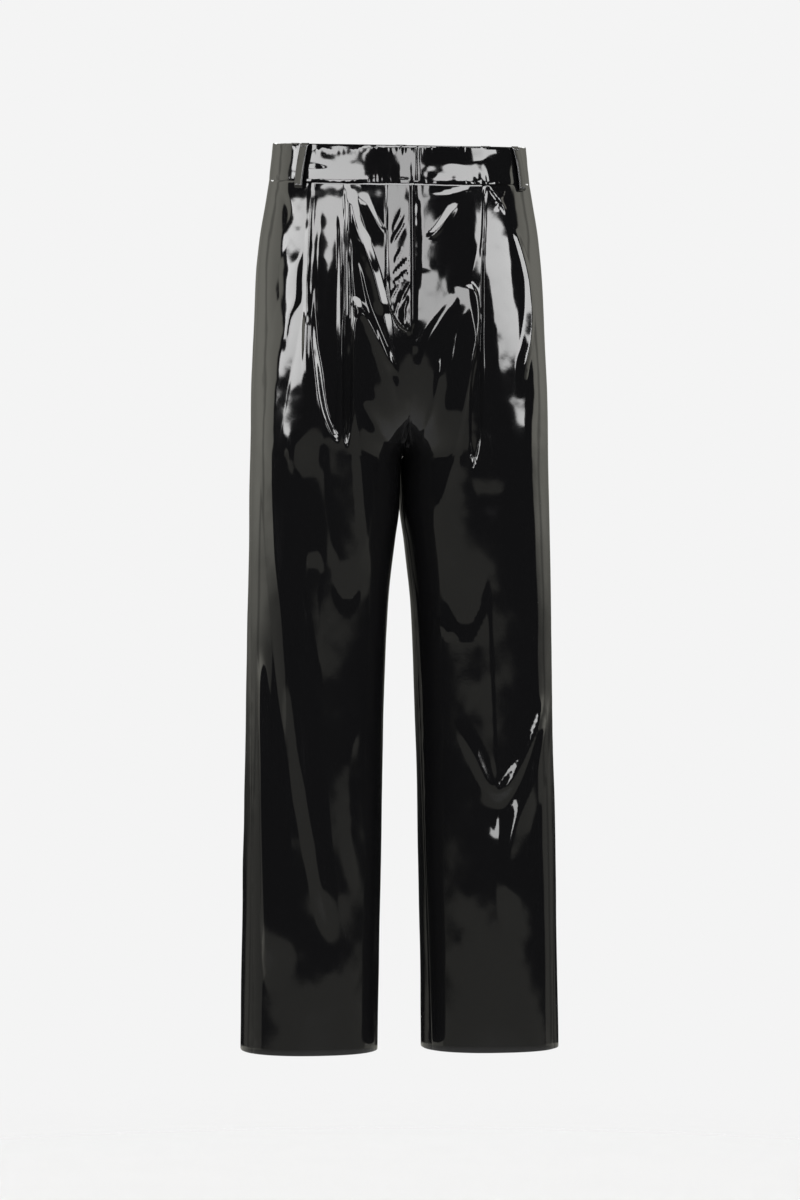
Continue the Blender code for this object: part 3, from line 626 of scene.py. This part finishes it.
def bandPlace(side, girth, drop, lift=0.0):   # on the waist's outline, at girths from the centre front
    x, y, _, lengths = halfOutline(drop)
    outX, outY = outOf(x, y)
    reach = np.abs(girth)
    px, py, ox, oy = (np.interp(reach, lengths, value) for value in (x, y, outX, outY))
    mirror = side * np.where(np.asarray(girth) >= 0, 1.0, -1.0)
    px = px + lift * ox
    py = py + lift * oy
    return np.stack((mirror * px, py, tiltAt(drop) * py - drop), axis=-1)


def bandHeights(side, girth, drop):   # gathers along both edges, and slow swells between them
    place = side * girth
    total = np.zeros(len(girth))
    for cell, height, seed in band["swells"]:
        total += height * gentleNoise(place, drop * 1.6, cell, seed)
    middle = figure["bandHeight"]
    total *= smoothStep(min(drop, middle - drop) / 9.0)
    for sideName, (grows, grown, wanes, gone), lean, bend, strength in band["curls"]:
        if side == sideOf(sideName):
            uneven = 2.2 * gentleNoise(place, drop, 9.0, 71)
            reach = smoothStep((girth - grows) / (grown - grows))
            reach = reach * smoothStep((gone - girth) / (gone - wanes))
            curl = 0.5 * strength * np.clip(drop + uneven - bend, 0, None) ** 2
            total += reach * (curl + lean * (drop - middle / 2))
    for sideName, centre, wide, dentDrop, tall, depth in band["dents"]:
        if side == sideOf(sideName):
            total -= depth * np.exp(-((girth - centre) / wide) ** 2 - ((drop - dentDrop) / tall) ** 2)
    for edge, seed in ((0.0, 61), (middle, 62)):
        reach = band["tickReach"] * (1 + 0.6 * gentleNoise(place, 0.0, 9.0, seed + 4))
        tick = gentleNoise(place, drop * 0.12, band["tickLength"], seed)
        where = np.clip(0.35 + 0.9 * gentleNoise(place, 0.0, 34.0, seed + 8), 0.1, 1.0)
        away = abs(drop - edge)
        total += band["tick"] * tick * where * np.exp(-(away / reach) ** 2) * smoothStep(away / 1.2)
        frontal = 0.15 + 0.85 * smoothStep(np.abs(girth - band["sideGirth"]) / 55.0)
        total -= band["edgeDip"] * math.exp(-(away / 1.4) ** 2) * frontal
    return total


def makeBand(name, materials):
    side = sideOf(name)
    height = figure["bandHeight"]
    roll = band["roll"]
    half = float(halfOutline(0.0)[3][-1])
    first = -band["rightLap"] if side < 0 else -band["leftLap"]
    girth = np.append(np.arange(first, half, band["columnStep"]), half)
    behind = smoothStep((band["underGirth"] - girth) / 4.0) * band["underDepth"] if side > 0 else 0.0
    inner = -2 * roll - band["edgeDip"] * 0.5
    rows = [(height + 0.5, -band["behindPanels"])]   # the lower edge lies behind the panels' cloth
    rows += [(drop, bandHeights(side, girth, drop))
             for drop in np.linspace(height, roll, round(height / band["rowStep"]))]
    for angle in (35, 70, 105, 140, 180):   # rolled over at the top
        turn = math.radians(angle)
        rows.append((roll * (1 - math.sin(turn)), roll * (math.cos(turn) - 1) - band["edgeDip"] * 0.5))
    rows += [(drop, inner) for drop in np.linspace(roll + 2.0, height - 0.5, 9)]
    starts = band["stretchStarts"]
    far = smoothStep((girth - starts) / (half - starts))   # the lower edge is longer, up to the centre back
    points = []
    for drop, lift in rows:
        longer = float(halfOutline(drop)[3][-1]) - half
        points.append(bandPlace(side, girth + far * longer, drop, lift - behind))
    grid = np.array(points)
    grid[:, -1, 0] = side * cloth["seamGap"]
    piece = sheetMesh("vinyl_" + name, flip(grid, -side))
    finishSheet(piece, cloth["thickness"], materials)
    width = half - first
    length = 2 * height
    dress(piece, name, (width, length), width * length)


loop = {
    "width": 13.0, "top": -0.6, "overhang": 8.0, "off": 2.1, "bulge": 2.6, "footLift": 1.4, "hollow": 0.5,
    "columns": 20, "rows": 44, "wall": 0.9, "wrinkle": 0.06,
    "places": {   # side, the girths from the centre front to its top and its foot, and its turn outwards
        "belt_loop_front_right": ("right", 125.5, 133.5, 0.27),
        "belt_loop_front_left": ("left", 136.5, 145.5, 0.0),
        "belt_loop_side_right": ("right", 284.0, 293.0, 0.0),
        "belt_loop_side_left": ("left", 284.0, 293.0, 0.0),
        "belt_loop_back": ("left", 388.0, 399.0, 0.0),
    },
}


def loopLift(share):   # how far a loop stands off the band, from its top to its foot
    bulge = loop["bulge"] * math.sin(math.pi * share) ** 0.8
    return loop["off"] + bulge + loop["footLift"] * share ** 3


def makeLoop(name, materials):
    sideName, topGirth, footGirth, turned = loop["places"][name]
    side = sideOf(sideName)
    bottom = figure["bandHeight"] + loop["overhang"]
    seed = 90 + sorted(loop["places"]).index(name)
    rows = []
    across = np.linspace(-1, 1, loop["columns"] + 1)
    for share in np.linspace(0, 1, loop["rows"] + 1):
        drop = loop["top"] + (bottom - loop["top"]) * share
        girth = topGirth + (footGirth - topGirth) * share + across * loop["width"] / 2
        lift = np.full(len(girth), loopLift(share))
        lift = lift - 1.5 * np.clip((np.abs(across) - 0.8) / 0.2, 0, 1) ** 2   # folded edges roll back
        lift = lift + loop["hollow"] * across ** 2 - turned * across * loop["width"] / 2
        lift = lift + loop["wrinkle"] * gentleNoise(girth * 0.7, drop, 6.0, seed)
        tuck = smoothStep((0.05 - share) / 0.05) + smoothStep((share - 0.955) / 0.045)
        rows.append(bandPlace(side, girth, max(drop, 0.0), lift - 1.3 * float(tuck)))
        if drop < 0:
            rows[-1][:, 2] -= drop
    piece = sheetMesh("vinyl_" + name, flip(np.array(rows), side))
    finishSheet(piece, loop["wall"], materials)
    width = loop["width"] + 2.0
    length = bottom - loop["top"] + 3.0
    dress(piece, name, (width, length), width * length)


hidden = {   # behind the fly and inside the side seams: girths from the centre front and drops
    "underlap": {"from": -38.0, "to": 12.0, "top": 46.0, "bottom": 219.0, "corner": 16.0, "lift": -8.2,
                 "wall": 0.9},
    "tape": {"from": -22.0, "to": 10.0, "top": 46.5, "bottom": 214.0, "corner": 1.5, "lift": -6.2,
             "wall": 0.5},
    "coil": {"girth": -6.0, "pitch": 1.5, "size": (4.4, 1.0, 0.9), "lift": -5.6},
    "bag": {"drops": (48, 86, 126, 178, 226, 262, 280), "widths": (62, 78, 92, 98, 88, 66, 40), "lift": -8.6,
            "apart": 2.0, "wall": 0.45, "crumple": 0.5, "columns": 40, "rows": 60},
}


def strip(name, sizes, material, node):   # a flat strip behind the fly with a rounded lower corner
    rows = []
    for drop in np.linspace(sizes["top"], sizes["bottom"], 60):
        low = max(0.0, drop - sizes["bottom"] + sizes["corner"]) / sizes["corner"]
        inset = sizes["corner"] * (1 - math.sqrt(max(0.0, 1 - low ** 2)))
        girth = np.linspace(sizes["from"] + inset, sizes["to"], 30)
        soft = 0.25 * gentleNoise(girth, drop, 24.0, 55)
        rows.append(bandPlace(1.0, girth, drop, sizes["lift"] + soft))
    piece = sheetMesh(name, np.array(rows)[:, ::-1])
    finishSheet(piece, sizes["wall"], (material,))
    width = sizes["to"] - sizes["from"]
    length = sizes["bottom"] - sizes["top"]
    dress(piece, node, (width, length), 0.97 * width * length)


def makeBag(name, material):   # a doubled bag that hangs from the side seam towards the front
    side = sideOf(name)
    bag = hidden["bag"]
    apart = bag["apart"]
    drops = np.linspace(bag["drops"][0], bag["drops"][-1], bag["rows"])
    turns = [math.pi * k / 6 for k in range(1, 6)]
    path = [(drop, 0.0) for drop in drops]
    path += [(drops[-1] + apart / 2 * math.sin(turn), apart / 2 * (1 - math.cos(turn))) for turn in turns]
    path += [(drop, apart) for drop in drops[::-1]]
    rows = []
    widths = []
    for drop, inner in path:
        _, _, angles, lengths = halfOutline(drop)
        seam = float(np.interp(math.pi, angles, lengths)) - 3.0
        width = float(eased(bag["drops"], bag["widths"], min(drop, bag["drops"][-1])))
        girth = np.linspace(seam - width, seam, bag["columns"])
        crumple = bag["crumple"] * gentleNoise(girth, drop * 0.6, 22.0, 57)
        rows.append(bandPlace(side, girth, drop, bag["lift"] - inner + crumple))
        widths.append(width)
    piece = sheetMesh(name, flip(np.array(rows)[:, ::-1], side))
    finishSheet(piece, bag["wall"], (material,))
    length = 2 * (drops[-1] - drops[0]) + math.pi * apart / 2
    area = sum(widths) / len(widths) * length
    dress(piece, "pocket_" + name, (max(widths), length), area)


def copies(original, name, places, node):   # one piece made of a copy of the original at each place
    bpy.ops.object.select_all(action="DESELECT")
    for place in places:
        mesh = original.data.copy()
        mesh.transform(place)
        single = bpy.data.objects.new(name, mesh)
        bpy.context.scene.collection.objects.link(single)
        single.select_set(True)
        bpy.context.view_layer.objects.active = single
    bpy.ops.object.join()
    piece = bpy.context.view_layer.objects.active
    piece.name = name
    dress(piece, node)


def standing(point, ahead, out):   # a place whose X runs ahead and whose Z points out of the cloth
    ahead = Vector(ahead).normalized()
    out = Vector(out).normalized()
    beside = out.cross(ahead).normalized()
    place = Matrix((ahead, beside, ahead.cross(beside))).transposed().to_4x4()
    place.translation = Vector(point) * mm
    return place


def makeCoil(material):   # the closed teeth, one bar repeated down the tape
    coil = hidden["coil"]
    bpy.ops.mesh.primitive_cylinder_add(vertices=8, radius=0.5 * mm, depth=1.0 * mm)
    bpy.ops.object.mode_set(mode="EDIT")
    bpy.ops.transform.rotate(value=math.pi / 2, orient_axis="Y")
    bpy.ops.transform.resize(value=coil["size"])
    bpy.ops.object.mode_set(mode="OBJECT")
    bar = bpy.context.object
    bpy.ops.object.shade_smooth_by_angle(angle=math.radians(40))
    bar.data.materials.append(material)
    places = []
    for drop in np.arange(hidden["tape"]["top"] + 3.0, hidden["tape"]["bottom"] - 4.0, coil["pitch"]):
        low, high = (bandPlace(1.0, coil["girth"] + k, drop, coil["lift"]) for k in (-0.5, 0.5))
        out = bandPlace(1.0, coil["girth"], drop, coil["lift"] + 1.0) - (low + high) / 2
        places.append(standing((low + high) / 2, high - low, out))
    copies(bar, "zip_coil", places, "fly_zip")
    bpy.data.objects.remove(bar)


thread = {   # one stitch, and the bar tacks of the loops
    "long": 2.1, "wide": 0.7, "high": 0.7, "pitch": 2.8, "lift": 0.2, "tackCount": 8, "tackSpread": 0.62,
}


def makeStitch(material):   # one stitch, a rounded grain lying along X
    bpy.ops.mesh.primitive_uv_sphere_add(segments=8, ring_count=6, radius=0.5 * mm)
    bpy.ops.object.mode_set(mode="EDIT")
    bpy.ops.transform.rotate(value=math.pi / 2, orient_axis="Y")
    bpy.ops.transform.resize(value=(thread["long"], thread["wide"], thread["high"]))
    bpy.ops.object.mode_set(mode="OBJECT")
    bpy.ops.object.shade_smooth()
    bpy.context.object.data.materials.append(material)
    return bpy.context.object


def sewFly(stitch):   # down beside the fly and round its curve to the centre
    straight = [(fly["width"], drop) for drop in np.arange(45.5, fly["curveStarts"], 0.25)]
    tall = fly["drop"] - fly["curveStarts"]
    curve = [(fly["width"] * math.cos(turn), fly["curveStarts"] + tall * math.sin(turn))
             for turn in np.linspace(0, math.radians(84), 300)]
    path = np.array(straight + curve)
    run = np.concatenate(([0.0], np.cumsum(np.hypot(*np.diff(path, axis=0).T))))
    places = []
    for start in np.arange(0.0, run[-1] - thread["pitch"], thread["pitch"]):
        ends = []
        for place in (start, start + thread["long"]):
            girth, drop = (float(np.interp(place, run, path[:, k])) for k in range(2))
            ends.append(onPanel("front_right", drop, girth, thread["lift"]))
        places.append(standing((ends[0][0] + ends[1][0]) / 2, ends[1][0] - ends[0][0], ends[0][1]))
    copies(stitch, "thread_fly", places, "front_right")
    print("fly stitching", len(places), "stitches")


def sewLoop(stitch, name):   # a bar tack across a loop's top and its foot
    sideName, topGirth, footGirth, turned = loop["places"][name]
    side = sideOf(sideName)
    bottom = figure["bandHeight"] + loop["overhang"]
    places = []
    for share in (0.075, 0.925):
        drop = loop["top"] + (bottom - loop["top"]) * share
        middle = topGirth + (footGirth - topGirth) * share
        lift = loopLift(share) + 0.12
        for k in range(thread["tackCount"]):
            aside = (k / (thread["tackCount"] - 1) - 0.5) * thread["tackSpread"] * loop["width"]
            girth = middle + aside
            height = lift - turned * aside
            point, above = (bandPlace(side, girth, drop + down, height) for down in (0.0, -1.0))
            out = bandPlace(side, girth, drop, height + 1.0) - point
            places.append(standing(point, above - point, out))
    copies(stitch, "thread_" + name, places, name)


class Value:   # a socket that can be used in sums
    def __init__(self, tree, socket):
        self.tree = tree
        self.socket = socket

    def maths(self, operation, *others, swapped=False):
        values = (self, *others)
        if swapped:
            values = values[::-1]
        return self.tree.node("ShaderNodeMath", {"operation": operation}, dict(enumerate(values)))

    def __add__(self, other):
        return self.maths("ADD", other)

    def __sub__(self, other):
        return self.maths("SUBTRACT", other)

    def __mul__(self, other):
        return self.maths("MULTIPLY", other)

    def __rsub__(self, other):
        return self.maths("SUBTRACT", other, swapped=True)

    __radd__ = __add__
    __rmul__ = __mul__


class Tree:   # the nodes of one material or world
    def __init__(self, owner):
        owner.use_nodes = True
        self.nodes = owner.node_tree.nodes
        self.links = owner.node_tree.links

    def node(self, kind, settings=None, values=None, output=0):
        made = self.nodes.new(kind)
        for key, setting in (settings or {}).items():
            setattr(made, key, setting)
        for key, value in (values or {}).items():
            self.feed(made.inputs[key], value)
        return Value(self, made.outputs[output])

    def feed(self, socket, value):
        if isinstance(value, Value):
            self.links.new(value.socket, socket)
        else:
            socket.default_value = value


def newMaterial(name, colour, roughness, **settings):
    material = bpy.data.materials.new(name)
    tree = Tree(material)
    shader = tree.nodes["Principled BSDF"]
    shader.inputs["Base Color"].default_value = colour
    shader.inputs["Roughness"].default_value = roughness
    for key, value in settings.items():
        shader.inputs[key].default_value = value
    return material, tree, shader


vinylLook = {   # patent gloss with a faint peel and smudges
    "colour": (0.006, 0.006, 0.0065, 1), "roughness": 0.05, "ior": 1.42,
    "peelSize": 260.0, "peelHeight": 0.00001, "smudgeSize": 18.0, "smudge": 0.05,
}


def vinylMaterial():
    look = vinylLook
    material, tree, shader = newMaterial("vinylFace", look["colour"], look["roughness"], IOR=look["ior"])
    place = tree.node("ShaderNodeTexCoord", output=3)
    peel = tree.node("ShaderNodeTexNoise", {}, {
        "Vector": place, "Scale": look["peelSize"], "Detail": 2.0, "Roughness": 0.5})
    bump = tree.node("ShaderNodeBump", {}, {"Height": peel, "Strength": 1.0, "Distance": look["peelHeight"]})
    tree.feed(shader.inputs["Normal"], bump)
    smudge = tree.node("ShaderNodeTexNoise", {}, {
        "Vector": place, "Scale": look["smudgeSize"], "Detail": 3.0})
    least = look["roughness"] - 0.4 * look["smudge"]
    tree.feed(shader.inputs["Roughness"], smudge * look["smudge"] + least)
    return material


clothLooks = {   # grey, how much it varies, roughness, weave lines a metre, their direction and height
    "clothBacking": (0.012, 0.5, 0.85, 420.0, "Z", 0.00010),
    "pocketTwill": (0.020, 0.35, 0.85, 360.0, "DIAGONAL", 0.00015),
    "zipTape": (0.016, 0.3, 0.75, 520.0, "X", 0.00015),
    "zipCoil": (0.020, 0.2, 0.35, 90.0, "Z", 0.00002),
    "blackThread": (0.055, 0.25, 0.3, 900.0, "DIAGONAL", 0.00008),
}


def clothMaterial(name):
    grey, varies, roughness, lines, across, height = clothLooks[name]
    material, tree, shader = newMaterial(name, (grey, grey, grey, 1), roughness)
    place = tree.node("ShaderNodeTexCoord", output=3)
    weave = tree.node("ShaderNodeTexWave", {"bands_direction": across}, {
        "Vector": place, "Scale": lines / 3.14, "Distortion": 0.6, "Detail": 1.0}, output=1)
    worn = tree.node("ShaderNodeTexNoise", {}, {"Vector": place, "Scale": 45.0, "Detail": 4.0})
    shade = (weave - 0.5) * varies + (worn - 0.5) * 0.6 + 1.0
    colour = tree.node("ShaderNodeCombineColor", {}, {
        0: shade * grey, 1: shade * grey, 2: shade * (grey * 1.05)})
    tree.feed(shader.inputs["Base Color"], colour)
    tree.feed(shader.inputs["Roughness"], worn * 0.16 + roughness - 0.08)
    bump = tree.node("ShaderNodeBump", {}, {"Height": weave, "Strength": 0.7, "Distance": height})
    tree.feed(shader.inputs["Normal"], bump)
    return material


# Lights by where they stand round the trousers: degrees from the camera's side and above the horizon.
# gloss is what the vinyl mirrors, wash what falls on cloth and floor.
studio = {
    "left": {"from": -88.0, "to": -52.0, "low": 6.0, "top": 24.6, "fall": 0.21},
    "right": {"from": 51.0, "to": 78.0, "low": 6.2, "top": 19.5, "fall": 0.1},
    "hood": {"from": -44.0, "to": -8.0, "low": 12.0, "middle": -27.0, "rise": 0.56, "high": 22.8},
    "overhead": {"from": -62.0, "to": 62.0, "low": 25.3, "high": 46.0},
    "leanFrom": 50.0,
    "strip": {"from": 10.5, "to": 19.8, "low": 1.0, "high": 22.0, "gloss": 12.0},
    "gloss": 15.5, "glossLow": 0.72, "glossRise": (-4.0, 16.0),
    "rear": {"from": 150.0, "to": 210.0, "low": 15.0, "high": 40.0, "gloss": 3.0},
    "edge": 0.7, "wash": 0.92,
    "walls": {   # where they begin at each side, how they fade round to the back, and a darker gap
        "left": 93.0, "right": 102.0, "leftLower": 80.0, "rightLower": 102.0, "lowerFrom": (-3.0, 2.0),
        "dim": 0.2, "dimFrom": (-3.0, 4.0), "to": 165.0, "near": 2.0, "far": 0.25, "low": -10.0, "high": 75.0,
        "gap": 122.0, "gapReach": 7.0, "gapLevel": 0.55, "endRound": (138.0, 150.0), "endDown": (-4.0, -1.0),
    },
    "below": {"from": -7.2, "deepFrom": -60.0, "level": 0.42, "deep": 0.9},
    "wallColour": (1.0, 0.985, 0.87, 1), "gloom": 0.01, "backdrop": 0.905, "floor": -1.36,
}


def makeStudio():
    scene = bpy.context.scene
    scene.view_settings.view_transform = "Standard"
    world = bpy.data.worlds.new("studio")
    scene.world = world
    tree = Tree(world)
    place = tree.node("ShaderNodeTexCoord", output=0)
    turned = tree.node("ShaderNodeVectorRotate", {"rotation_type": "Z_AXIS"},
                       {"Vector": place, "Angle": math.radians(camera["yaw"])})
    split = tree.nodes.new("ShaderNodeSeparateXYZ")
    tree.feed(split.inputs[0], turned)
    x, y, z = (Value(tree, split.outputs[k]) for k in range(3))
    degree = math.degrees(1)
    azimuth = x.maths("ARCTAN2", y * -1.0) * degree       # 0 on the camera's side, + to its right
    elevation = z.maths("ARCSINE") * degree
    around = azimuth.maths("ABSOLUTE")
    edge = studio["edge"]

    def ramp(value, start, end, first=0.0, last=1.0):
        return tree.node("ShaderNodeMapRange", {"interpolation_type": "SMOOTHSTEP"}, {
            "Value": value, "From Min": start, "From Max": end, "To Min": first, "To Max": last})

    def over(value, limit, soft=edge):
        return ramp(value, limit - soft, limit + soft)

    def under(value, limit, soft=edge):
        return ramp(value, limit - soft, limit + soft, 1.0, 0.0)

    def between(value, low, high, soft=edge):
        return over(value, low, soft) * under(value, high, soft)

    total = studio["gloom"]
    for name, turn in (("strip", azimuth), ("rear", around)):
        box = studio[name]
        shape = between(turn, box["from"], box["to"]) * between(elevation, box["low"], box["high"])
        total = shape * box["gloss"] + total
    lit = 0.0
    for name in ("left", "right"):   # tall soft boxes at the sides, their tops leaning down outwards
        box = studio[name]
        lean = (around - studio["leanFrom"]) * -box["fall"] + box["top"]
        tall = under(elevation - lean, 0.0) * over(elevation, box["low"])
        lit = between(azimuth, box["from"], box["to"]) * tall + lit
    hood = studio["hood"]
    rim = (azimuth - hood["middle"]).maths("ABSOLUTE") * hood["rise"] + hood["low"]
    shape = over(elevation - rim, 0.0) * under(elevation, hood["high"])
    lit = between(azimuth, hood["from"], hood["to"]) * shape + lit
    box = studio["overhead"]
    lit = lit + between(azimuth, box["from"], box["to"], 1.5) * between(elevation, box["low"], box["high"])
    lit = lit.maths("MINIMUM", 1.0)
    gloss = studio["gloss"]
    total = lit * ramp(elevation, *studio["glossRise"], studio["glossLow"] * gloss, gloss) + total

    walls = studio["walls"]
    onRight = azimuth.maths("GREATER_THAN", 0.0)
    begins = onRight * (walls["right"] - walls["left"]) + walls["left"]
    lower = onRight * (walls["rightLower"] - walls["leftLower"]) + walls["leftLower"]
    begins = ramp(elevation, *walls["lowerFrom"]) * (begins - lower) + lower
    side = over(around - begins, 0.0, 1.5) * between(elevation, walls["low"], walls["high"], 2.0)
    side = side * (1 - ramp(around, *walls["endRound"]) * ramp(elevation, *walls["endDown"], 1.0, 0.0))
    fromGap = (around - walls["gap"]).maths("ABSOLUTE")
    side = side * ramp(fromGap, 0.0, walls["gapReach"], walls["gapLevel"], 1.0)
    side = side * ramp(elevation, *walls["dimFrom"], walls["dim"], 1.0)
    warm = side * ramp(around, walls["left"], walls["to"], walls["near"], walls["far"])
    below = studio["below"]
    depth = ramp(elevation, below["deepFrom"], below["from"], below["deep"], below["level"])
    warm = warm + under(elevation, below["from"], 0.6) * depth

    rays = tree.nodes.new("ShaderNodeLightPath").outputs
    seen = Value(tree, rays["Is Camera Ray"])
    mirrored = Value(tree, rays["Is Glossy Ray"])
    total = seen * studio["backdrop"] + mirrored * total + (1 - seen) * (1 - mirrored) * studio["wash"]
    light = tree.nodes["Background"]
    tree.feed(light.inputs["Strength"], total)
    tree.feed(light.inputs["Color"], (1, 1, 1, 1))
    walled = tree.node("ShaderNodeBackground", {}, {
        "Color": studio["wallColour"], "Strength": mirrored * warm})
    both = tree.node("ShaderNodeAddShader", {}, {0: Value(tree, light.outputs[0]), 1: walled})
    tree.feed(tree.nodes["World Output"].inputs["Surface"], both)
    print("studio lit")


def makeFloor():   # a pale round that fades into the backdrop
    bpy.ops.object.select_all(action="DESELECT")
    bpy.ops.mesh.primitive_circle_add(vertices=96, radius=2.2, fill_type="NGON",
                                      location=(0, 0, studio["floor"]))
    floor = bpy.context.object
    floor.name = "studioFloor"
    material, tree, shader = newMaterial("paleFloor", (0.95, 0.95, 0.945, 1), 0.9)
    spot = tree.node("ShaderNodeTexCoord", output=3)
    distance = tree.node("ShaderNodeVectorMath", {"operation": "LENGTH"}, {0: spot}, output=1)
    fade = tree.node("ShaderNodeMapRange", {"interpolation_type": "SMOOTHSTEP"}, {
        "Value": distance, "From Min": 0.5, "From Max": 2.1, "To Min": 1.0, "To Max": 0.0})
    tree.feed(shader.inputs["Alpha"], fade)
    floor.data.materials.append(material)


def makeCamera():
    yaw = math.radians(camera["yaw"])
    ahead = Vector((math.sin(yaw), math.cos(yaw), 0.0))
    beside = Vector((math.cos(yaw), -math.sin(yaw), 0.0))
    data = bpy.data.cameras.new("camera")
    data.sensor_fit = "VERTICAL"
    data.sensor_height = camera["sensor"]
    data.sensor_width = camera["sensor"]
    data.lens = camera["sensor"] * camera["distance"] / camera["frameHeight"]
    view = bpy.data.objects.new("camera", data)
    bpy.context.scene.collection.objects.link(view)
    view.location = -camera["distance"] * ahead + camera["aside"] * beside + Vector((0, 0, camera["height"]))
    view.rotation_euler = (math.pi / 2, 0.0, -yaw)
    bpy.context.scene.camera = view


bpy.ops.object.select_all(action="DESELECT")
vinyl = vinylMaterial()
backing, twill, tape, nylon, cotton = (clothMaterial(name) for name in clothLooks)
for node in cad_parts.values():
    node.data.materials.clear()
    node.data.materials.append(vinyl)
for panelName in ("front_right", "front_left", "back_right", "back_left"):
    makePanel(panelName, (vinyl, backing))
for bandName in ("waistband_right", "waistband_left"):
    makeBand(bandName, (vinyl, vinyl))
for loopName in loop["places"]:
    makeLoop(loopName, (vinyl, backing))
print("belt loops made")
strip("vinyl_underlap", hidden["underlap"], vinyl, "fly_underlap")
strip("zip_tape", hidden["tape"], tape, "fly_zip")
makeCoil(nylon)
makeBag("bag_right", twill)
makeBag("bag_left", twill)
grain = makeStitch(cotton)
sewFly(grain)
for loopName in loop["places"]:
    sewLoop(grain, loopName)
bpy.data.objects.remove(grain)
print("stitching made")
makeStudio()
makeFloor()
makeCamera()
